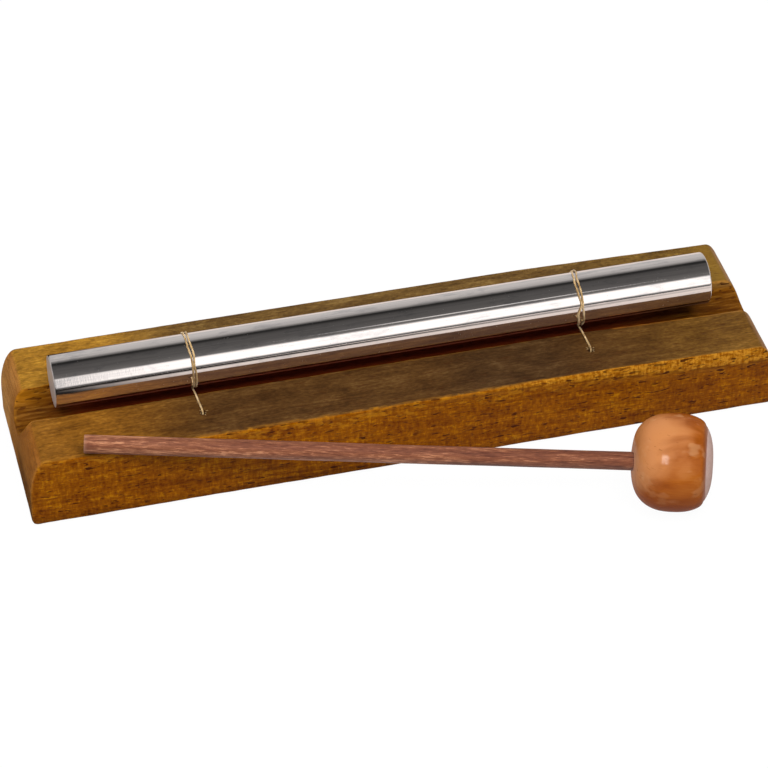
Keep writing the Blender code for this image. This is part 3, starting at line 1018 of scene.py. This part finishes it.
def bar_metal():
    """Drawn and polished aluminium: fine lengthwise lines, short scratches and a few handling marks."""
    s = Shader("polished_aluminium")
    drawn = s.noise((0.06, 0.06, 60), 3, 0.6)
    cloudy = s.noise((5, 5, 16), 4)
    ticks = s.range(s.noise((1.2, 1.2, 0.22), 2), 0.72, 0.79)
    specks = s.range(s.noise((0.35, 0.35, 0.35), 2), 0.73, 0.78)
    marks = s.math("MAXIMUM", ticks, specks)
    rings = s.noise((2.5, 2.5, 0.22), 2, 0.5)
    ring_places = s.range(s.noise((9, 9, 13), 2), 0.52, 0.60)
    end_face = s.range(s.size(s.normal()[2]), 0.6, 0.9)
    streaks = s.range(s.noise((0.45, 0.45, 26), 3, 0.6, offset=(7, 2, 5)), 0.40, 0.72)
    smudges = s.range(s.noise((3.5, 3.5, 11), 4, 0.65, offset=(3, 1, 2)), 0.50, 0.68)
    color = s.cover(
        s.mix(cloudy, (0.925, 0.845, 0.805), (0.99, 0.915, 0.875)),
        (streaks, (0.57, 0.53, 0.55), 0.30),
        (smudges, (0.52, 0.50, 0.51), 0.45),
        (marks, (0.45, 0.43, 0.42), 0.45),
        (end_face, (0.60, 0.54, 0.52)),
    )
    s.set("Base Color", color)
    s.set("Metallic", s.rest_of(s.times(end_face, 0.6)))
    rough = s.plus(s.range(cloudy, 0.3, 0.7, 0.035, 0.065), s.times(marks, 0.25))
    s.set("Roughness", s.plus(rough, s.times(end_face, 0.35)))
    lines = s.bump(drawn, 0.004, 0.25)
    lines = s.bump(s.times(rings, ring_places), 0.010, 0.5, lines)
    s.set("Normal", s.bump(s.times(marks, -1.0), 0.02, 0.5, lines))
    return s.material


def cord_twine():
    """Waxed natural twine, darker where it has been handled."""
    s = Shader("twine")
    patches = s.noise((2.5, 2.5, 2.5), 4)
    fine = s.noise((0.12, 0.12, 0.12), 2)
    color = s.ramp(patches, [(0.34, (0.26, 0.145, 0.042)), (0.50, (0.50, 0.325, 0.135)),
                             (0.64, (0.72, 0.53, 0.29))])
    s.set("Base Color", s.cover(color, (fine, (0.30, 0.18, 0.06), 0.3)))
    s.set("Roughness", 0.6)
    s.set("Sheen Weight", 0.3)
    s.set("Normal", s.bump(fine, 0.05, 0.5))
    return s.material


def stick_wood():
    """Raw reddish hardwood stick: pale silky streaks along it on a brown-red ground."""
    s = Shader("stick_wood", "own_place")
    broad = s.noise((1.7, 1.7, 24), 4, 0.6, 0.3)
    streaks = s.noise((0.34, 0.34, 3.8), 5, 0.7, 0.5)
    fine = s.noise((0.16, 0.16, 2.6), 3)
    tone = s.weighted((broad, 0.36), (streaks, 0.64))
    tone = s.plus(tone, s.fade("z", -60, -170, -0.015, 0.030))
    color = s.ramp(tone, [(0.36, (0.066, 0.016, 0.0075)), (0.47, (0.142, 0.042, 0.019)),
                          (0.55, (0.225, 0.076, 0.033)), (0.64, (0.520, 0.235, 0.116))])
    pores = s.range(s.noise((0.3, 0.3, 1.8), 2), 0.66, 0.74)
    pale_tip = (s.mark("tip_face"), (0.30, 0.15, 0.09), 0.7)
    s.set("Base Color", s.cover(color, (pores, (0.06, 0.020, 0.014), 0.6), pale_tip))
    s.set("Roughness", s.range(streaks, 0.3, 0.7, 0.62, 0.42))
    relief = s.weighted((streaks, 0.7), (fine, 0.3))
    s.set("Normal", s.bump(relief, 0.09, 0.6))
    return s.material


def head_wood():
    """Lacquered turned wood: faint rings and figure, paler end grain on the striking end, small dents,
    painted light on faces turned up and to the left, painted shade underneath and pale patches of painted
    highlight.
    """
    s = Shader("head_wood", "own_place")
    figure = s.noise((7, 7, 16), 3, 0.5, 0.6)
    grain = s.noise((0.5, 0.5, 6.0), 3, 0.55, 0.6)
    sheen_noise = s.noise((5.5, 5.5, 7), 2, offset=(2, 7, 1))
    tone = s.weighted((figure, 0.75), (grain, 0.25))
    color = s.ramp(tone, [(0.34, (0.20, 0.042, 0.003)), (0.47, (0.27, 0.064, 0.005)),
                          (0.57, (0.32, 0.084, 0.008)), (0.70, (0.38, 0.120, 0.018))])
    normal = s.normal("NewGeometry")
    # Painted light: faces turned up and to the left are lighter, broken up by the figure.
    upward = s.weighted((normal[2], 0.82), (normal[0], -0.80), (s.math("SUBTRACT", figure, 0.5), 0.8))
    # Painted highlight: pale patches, strongest on faces turned up, stand in for reflections of the bright
    # room.
    patches = s.times(s.range(sheen_noise, 0.56, 0.68, 0.0, 0.5), s.range(normal[2], -0.1, 0.3, 0.3, 1.0))
    lines = s.range(s.noise((2.4, 0.40, 6.0), 2, 0.5, 1.0, offset=(1, 2, 9)), 0.66, 0.72)
    end_face = s.mark("end_face")
    end_color = s.mix(s.noise((1.0, 1.0, 1.0), 4), (0.44, 0.285, 0.240), (0.59, 0.425, 0.380))
    color = s.cover(
        color,
        (s.range(upward, 0.42, 1.0, 0.0, 0.85), (0.49, 0.200, 0.072)),
        # Painted shade on the underside.
        (s.range(normal[2], 0.10, -0.70), (0.190, 0.034, 0.003)),
        (patches, (0.48, 0.235, 0.10)),
        (lines, (0.16, 0.045, 0.008), 0.6),
        (end_face, end_color),
        (s.mark("end_rim"), (0.20, 0.05, 0.012), 0.5),
    )
    s.set("Base Color", color)
    s.set("Specular IOR Level", 0.0)
    dents = s.noise((2.2, 2.2, 2.2), 2)
    s.set("Roughness", s.range(sheen_noise, 0.3, 0.7, 0.34, 0.5))
    s.set("Coat Weight", s.times(s.rest_of(end_face), 0.26))
    s.set("Coat Roughness", 0.12)
    small = s.bump(grain, 0.02, 0.4)
    s.set("Normal", s.bump(dents, 0.18, 0.35, small))
    return s.material


# ---------------- studio

# The angle from overhead towards the viewer in degrees, and how bright the room is there
STUDIO_BANDS = [
    (-180, 0.30), (-108, 0.30), (-94, 0.42), (-84, 0.56), (-62, 0.52), (-45, 0.42), (-36, 0.20),
    (-28, 0.022), (-21, 0.026), (-15, 0.062), (0, 0.085), (18, 0.090), (33, 0.12), (42, 0.17),
    (49, 1.25), (79, 1.25), (85, 0.20), (90, 0.05), (94, 0.05), (100, 0.30), (180, 0.30),
]
ROOM_ON_DULL = 0.22          # how much of the room's light reaches dull surfaces; the panels do the rest
SIDE_LIGHT = 0.42            # how bright the room is far to either side
STRIP_END = (0.08, 0.125, 0.50, 1.3)    # from X, to X, and the most that a band may shine at each
TUBE_ANGLE = 31.5            # the thin tube light: its angle, as in STUDIO_BANDS,
TUBE_ACROSS = 0.218          # its middle's place to the right and its brightness
TUBE_LIGHT = 0.7


def make_world():
    """A studio seen as bands that run along X, the way its panels stand along the object."""
    world = bpy.data.worlds.new("studio")
    bpy.context.scene.world = world
    world.use_nodes = True
    n = Nodes(world.node_tree)
    background = n.tree.nodes["Background"]
    x, y, z = n.parts(n.add("TexCoord")["Generated"])
    angle = n.math("ARCTAN2", n.times(y, -1.0), z)
    share = n.plus(n.math("DIVIDE", angle, 2 * math.pi), 0.5)
    bands = n.ramp(share, [((degrees + 180) / 360, light) for degrees, light in STUDIO_BANDS])
    light = n.math("MINIMUM", bands, n.line(x, *STRIP_END))
    light = n.plus(light, thin_tube(n, angle, x))
    sideways = n.line(n.size(x), 0.6, 0.8)
    light = n.add("Mix", {0: sideways, 2: light, 3: SIDE_LIGHT})[0]
    n.link(light, background.inputs["Color"])
    dull = n.times(n.add("LightPath")["Is Diffuse Ray"], 1.0 - ROOM_ON_DULL)
    n.link(n.rest_of(dull), background.inputs["Strength"])


def thin_tube(n, angle, across):
    """A short tube light above the strip, seen only in the right half of the bar."""
    off_line = n.size(n.math("SUBTRACT", angle, math.radians(TUBE_ANGLE)))
    line = n.line(off_line, math.radians(2.4), math.radians(0.8))
    off_middle = n.size(n.math("SUBTRACT", across, TUBE_ACROSS))
    reach = n.line(off_middle, 0.048, 0.020)
    return n.times(n.times(line, reach), TUBE_LIGHT)


FLOOR_GLOW = 0.94            # how much of the floor's white is its own, as the camera sees it
FLOOR_IN_METAL = 0.75        # how bright its lit parts are in polished metal


def make_floor():
    """A pale round floor. The camera sees it almost evenly white; polished metal sees only parts of it lit.
    """
    bpy.ops.mesh.primitive_circle_add(vertices=96, radius=2.5, fill_type="NGON", location=(0, 0, -0.0002))
    floor = bpy.context.object
    floor.name = "studio_floor"
    s = Shader("pale_floor")
    s.set("Base Color", (0.60, 0.59, 0.58, 1.0))
    s.set("Roughness", 1.0)
    s.set("Specular IOR Level", 0.0)
    rays = s.add("LightPath")
    near_and_not_left = s.times(s.line(s.along["y"], -0.27, -0.15), s.line(s.along["x"], -0.09, -0.045))
    seen_by_metal = s.math("MAXIMUM", near_and_not_left, s.line(s.along["x"], 0.05, 0.20))
    seen_by_metal = s.plus(s.times(seen_by_metal, FLOOR_IN_METAL), 0.02)
    glow = s.add("Emission", {0: (1.0, 0.92, 0.88, 1.0), 1: seen_by_metal})[0]
    white = s.add("Emission", {0: (1.0, 1.0, 1.0, 1.0), 1: 1.03})[0]
    lit = s.surface.outputs[0]
    for_camera = s.add("MixShader", {0: FLOOR_GLOW, 1: lit, 2: white})[0]
    for_metal = s.add("MixShader", {0: rays["Is Glossy Ray"], 1: lit, 2: glow})[0]
    result = s.add("MixShader", {0: rays["Is Camera Ray"], 1: for_metal, 2: for_camera})[0]
    s.link(result, s.tree.nodes["Material Output"].inputs["Surface"])
    floor.data.materials.append(s.material)


def add_panel(name, azimuth, elevation, distance, width, height, power, seen):
    """A soft panel light that either lights the object or is only seen reflected in the mallet's head."""
    back = direction(azimuth, elevation)
    light = bpy.data.lights.new(name, "AREA")
    light.shape = "RECTANGLE"
    light.size, light.size_y = width, height
    light.energy = power
    panel = add_object(name, light)
    panel.location = back * distance
    panel.rotation_euler = back.to_track_quat("Z", "Y").to_euler()
    panel.visible_glossy = seen
    panel.visible_diffuse = not seen
    if seen:
        shown = bpy.data.collections.new(name + "_shows_on")
        shown.objects.link(bpy.data.objects["mallet_ball"])
        panel.light_linking.receiver_collection = shown


# Name, azimuth and elevation in degrees, distance, width and height in metres, watts, and whether it is the
# one that only shows in the head
PANELS = [
    ("key_panel", -2, 58, 1.2, 1.0, 0.45, 14, False),
    ("overhead_panel", 0, 86, 1.3, 1.2, 0.5, 8, False),
    ("back_panel", 175, 40, 1.3, 1.2, 0.5, 2.5, False),
    ("left_panel", -85, 32, 1.2, 0.6, 0.5, 3, False),
    ("spark_panel", -30, 46, 1.2, 0.38, 0.38, 9.0, True),
]


def make_lights():
    for panel in PANELS:
        add_panel(*panel)


def make_camera():
    data = bpy.data.cameras.new("camera")
    data.sensor_width = 36.0
    data.lens = CAMERA_LENS
    data.clip_start, data.clip_end = 0.01, 20.0
    camera = add_object("camera", data)
    camera.location = CAMERA_AIM + VIEW_BACK * CAMERA_DISTANCE
    camera.rotation_mode = "QUATERNION"
    camera.rotation_quaternion = VIEW_BACK.to_track_quat("Z", "Y")
    bpy.context.scene.camera = camera
    bpy.context.scene.view_settings.view_transform = "Standard"


# ---------------- assembly

def attach(piece, body, node):
    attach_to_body(piece, body)
    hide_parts(node)


def attach_span(piece, side, where):
    """A span runs from its hole in the block to the turns at the bar; it is left in place, on no body."""
    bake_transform(piece)
    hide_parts(f"{side}_cord_{where}_span")


def main():
    attach(make_block(block_wood()), "base", "base_block")
    attach(make_bar(bar_metal()), "bar", "chime_bar")
    for piece, kind, side, where in make_cords(cord_twine()):
        if kind == "turns":
            attach(piece, "cord_loops", f"{side}_cord_wrap")
        elif kind == "knot":
            attach(piece, "base", f"{side}_{where}_knot")
        else:
            attach_span(piece, side, where)
    head, handle = make_head(head_wood()), make_handle(stick_wood())
    head.visible_glossy = handle.visible_glossy = False      # the bar shows no reflection of the mallet
    attach(head, "mallet", "mallet_head")
    attach(handle, "mallet", "mallet_handle")
    make_floor()
    make_world()
    make_lights()
    make_camera()


main()
